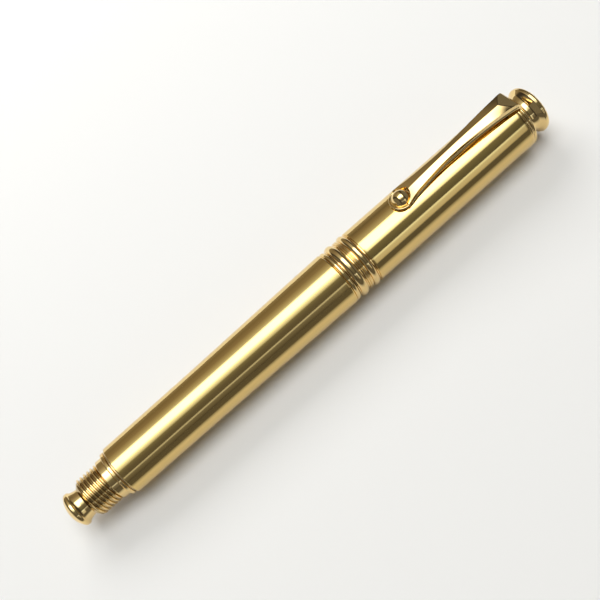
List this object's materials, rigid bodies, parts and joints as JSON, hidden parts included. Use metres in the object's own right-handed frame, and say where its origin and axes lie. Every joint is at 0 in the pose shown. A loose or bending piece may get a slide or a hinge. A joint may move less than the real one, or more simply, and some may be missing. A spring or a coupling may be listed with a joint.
{
  "type": "fountain pen",
  "caption": "Closed metal fountain pen with a screw cap, sprung clip ending in a dome, double-torus centre band, flared finial, posting thread and end knob.",
  "frame": {"origin": "middle of the pen's length on the plane it rests on, under the pen's axis, with the clip straight up; the axis is 6.88 mm above the origin", "axes": "+X along the pen's axis from the end knob to the cap's finial, +Z towards the clip, +Y to the side"},
  "size_m": [0.137, 0.0138, 0.0168],
  "materials": {
    "body_metal": "lacquered brass-gold sleeve, polished with a faint satin",
    "plated": "mirror-polished gold plating",
    "raw_brass": "plain machined brass",
    "nib_metal": "polished gold-plated sheet with a bright steel tip",
    "black_plastic": "glossy black",
    "feed_plastic": "moulded satin black",
    "clear_tank": "clear moulded plastic",
    "seal_plastic": "natural white plastic",
    "seal_rubber": "black seal"
  },
  "bodies": {
    "barrel": {"barrel_sleeve": "body_metal", "barrel_tube": "raw_brass", "barrel_coupler": "plated", "barrel_front_ring": "plated", "tail_flange": "plated", "posting_thread": "plated", "tail_stud": "raw_brass", "tail_knob": "plated"},
    "nib_unit": {"nib_housing": "black_plastic"},
    "section": {"section_collar": "plated", "section_tail_thread": "plated", "section_grip": "black_plastic", "section_ring": "plated", "nib": "nib_metal", "feed": "feed_plastic"},
    "converter": {"converter_tank": "clear_tank", "converter_collar": "plated"},
    "converter_knob": {"converter_knob": "black_plastic"},
    "piston": {"piston_rod": "seal_plastic", "piston_seal": "seal_rubber"},
    "cap_inner": {"cap_liner": "black_plastic"},
    "cap_lining_tube": {"cap_tube": "raw_brass"},
    "cap": {"cap_sleeve": "body_metal", "centre_band": "plated", "cap_coupler": "plated", "cap_plug": "raw_brass", "cap_ring": "plated", "clip_ring": "plated", "finial_stud": "raw_brass", "finial": "plated"},
    "clip": {"clip": "plated", "clip_ball": "plated"}
  },
  "joints": [
    {"name": "section_pull", "type": "slide", "parent": "barrel", "child": "nib_unit", "axis": [1, 0, 0], "range_m": [0, 0.06]},
    {"name": "section_unscrew", "type": "hinge", "parent": "nib_unit", "child": "section", "pos_m": [0.0165, 0, 0.00688], "axis": [1, 0, 0], "range_deg": [0, 2880]},
    {"name": "converter_pull", "type": "slide", "parent": "nib_unit", "child": "converter", "axis": [-1, 0, 0], "range_m": [0, 0.005]},
    {"name": "converter_turn", "type": "hinge", "parent": "converter", "child": "converter_knob", "pos_m": [-0.0355, 0, 0.00688], "axis": [1, 0, 0], "range_deg": [0, 1800]},
    {"name": "piston_travel", "type": "slide", "parent": "converter", "child": "piston", "axis": [1, 0, 0], "range_m": [0, 0.016]},
    {"name": "cap_pull", "type": "slide", "parent": "section", "child": "cap_inner", "axis": [1, 0, 0], "range_m": [0, 0.062]},
    {"name": "cap_advance", "type": "slide", "parent": "cap_inner", "child": "cap_lining_tube", "axis": [1, 0, 0], "range_m": [0, 0.00337]},
    {"name": "cap_unscrew", "type": "hinge", "parent": "cap_lining_tube", "child": "cap", "pos_m": [0.0315, 0, 0.00688], "axis": [1, 0, 0], "range_deg": [0, 450]},
    {"name": "clip_flex", "type": "hinge", "parent": "cap", "child": "clip", "pos_m": [0.0614, 0, 0.01388], "axis": [0, 1, 0], "range_deg": [0, 5], "stiffness_Nm_per_rad": 3.5}
  ],
  "couplings": [
    {"joint": "converter_turn", "follows": "piston_travel", "rad_per_m": 1963.5},
    {"joint": "cap_unscrew", "follows": "cap_advance", "rad_per_m": 2327.1}
  ]
}
